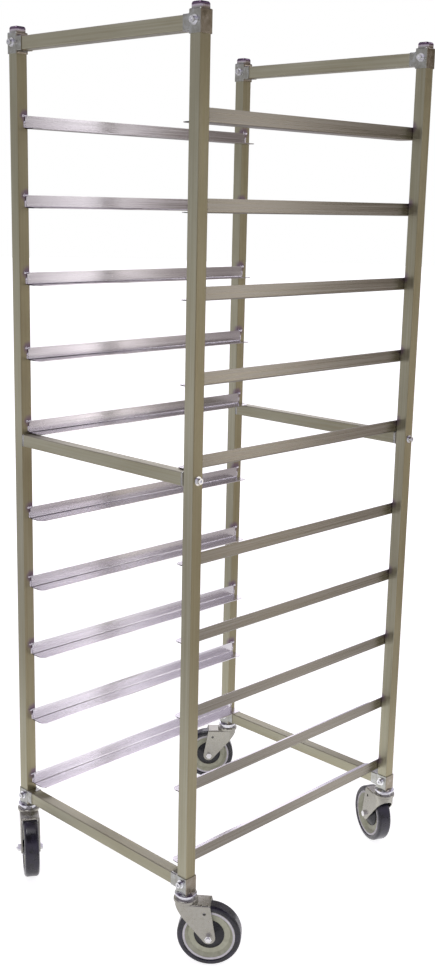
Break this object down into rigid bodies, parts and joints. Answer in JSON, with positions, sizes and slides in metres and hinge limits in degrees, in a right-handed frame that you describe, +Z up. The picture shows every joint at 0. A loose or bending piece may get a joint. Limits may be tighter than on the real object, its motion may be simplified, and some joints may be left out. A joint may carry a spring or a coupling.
{
  "type": "sheet pan rack",
  "caption": "Tall open rack of square tube posts with paired angle slides for sheet pans, bolted corner castings and crossbars, on swivel casters.",
  "frame": {"origin": "on the floor, at the middle of the four posts", "axes": "+X to the right seen from the front, +Y from the front to the rear, +Z up"},
  "size_m": [0.687, 0.7701, 1.7905],
  "materials": {
    "post": "brushed along the tube",
    "crossbar": "brushed along the tube",
    "slide": "bright rolled sheet",
    "casting": "cast and polished",
    "bolt": "zinc plated",
    "race": "bright plated",
    "fork": "zinc plated pressed steel",
    "axle": "bright plated",
    "wheel_core": "satin moulded plastic",
    "tyre": "dark non-marking rubber",
    "thread_guard": "black moulded plastic"
  },
  "bodies": {
    "frame": {"post_front_left": "post", "top_casting_front_left": "casting", "bottom_casting_front_left": "casting", "post_front_right": "post", "top_casting_front_right": "casting", "bottom_casting_front_right": "casting", "post_rear_left": "post", "top_casting_rear_left": "casting", "bottom_casting_rear_left": "casting", "post_rear_right": "post", "top_casting_rear_right": "casting", "bottom_casting_rear_right": "casting", "crossbar_top_front": "crossbar", "crossbar_middle_front": "crossbar", "crossbar_bottom_front": "crossbar", "crossbar_top_rear": "crossbar", "crossbar_middle_rear": "crossbar", "crossbar_bottom_rear": "crossbar", "slide_left_01": "slide", "slide_right_01": "slide", "slide_left_02": "slide", "slide_right_02": "slide", "slide_left_03": "slide", "slide_right_03": "slide", "slide_left_04": "slide", "slide_right_04": "slide", "slide_left_05": "slide", "slide_right_05": "slide", "slide_left_06": "slide", "slide_right_06": "slide", "slide_left_07": "slide", "slide_right_07": "slide", "slide_left_08": "slide", "slide_right_08": "slide", "slide_left_09": "slide", "slide_right_09": "slide", "slide_left_10": "slide", "slide_right_10": "slide", "frame_bolts": "bolt", "caster_stems": "race"},
    "caster_front_left": {"fork_front_left": "fork", "axle_front_left": "axle"},
    "wheel_front_left": {"wheel_core_front_left": "wheel_core", "tyre_front_left": "tyre", "thread_guards_front_left": "thread_guard"},
    "caster_front_right": {"fork_front_right": "fork", "axle_front_right": "axle"},
    "wheel_front_right": {"wheel_core_front_right": "wheel_core", "tyre_front_right": "tyre", "thread_guards_front_right": "thread_guard"},
    "caster_rear_left": {"fork_rear_left": "fork", "axle_rear_left": "axle"},
    "wheel_rear_left": {"wheel_core_rear_left": "wheel_core", "tyre_rear_left": "tyre", "thread_guards_rear_left": "thread_guard"},
    "caster_rear_right": {"fork_rear_right": "fork", "axle_rear_right": "axle"},
    "wheel_rear_right": {"wheel_core_rear_right": "wheel_core", "tyre_rear_right": "tyre", "thread_guards_rear_right": "thread_guard"}
  },
  "joints": [
    {"name": "swivel_front_left", "type": "hinge", "parent": "frame", "child": "caster_front_left", "pos_m": [-0.254, -0.32, 0.136], "axis": [0, 0, 1], "continuous": true},
    {"name": "roll_front_left", "type": "hinge", "parent": "caster_front_left", "child": "wheel_front_left", "pos_m": [-0.21374, -0.34614, 0.0635], "axis": [0.5446, 0.8387, 0], "continuous": true},
    {"name": "swivel_front_right", "type": "hinge", "parent": "frame", "child": "caster_front_right", "pos_m": [0.254, -0.32, 0.136], "axis": [0, 0, 1], "continuous": true},
    {"name": "roll_front_right", "type": "hinge", "parent": "caster_front_right", "child": "wheel_front_right", "pos_m": [0.2913, -0.28979, 0.0635], "axis": [-0.6293, 0.7771, 0], "continuous": true},
    {"name": "swivel_rear_left", "type": "hinge", "parent": "frame", "child": "caster_rear_left", "pos_m": [-0.254, 0.32, 0.136], "axis": [0, 0, 1], "continuous": true},
    {"name": "roll_rear_left", "type": "hinge", "parent": "caster_rear_left", "child": "wheel_rear_left", "pos_m": [-0.28674, 0.2849, 0.0635], "axis": [0.7314, -0.682, 0], "continuous": true},
    {"name": "swivel_rear_right", "type": "hinge", "parent": "frame", "child": "caster_rear_right", "pos_m": [0.254, 0.32, 0.136], "axis": [0, 0, 1], "continuous": true},
    {"name": "roll_rear_right", "type": "hinge", "parent": "caster_rear_right", "child": "wheel_rear_right", "pos_m": [0.21032, 0.33991, 0.0635], "axis": [-0.4147, -0.91, 0], "continuous": true}
  ]
}
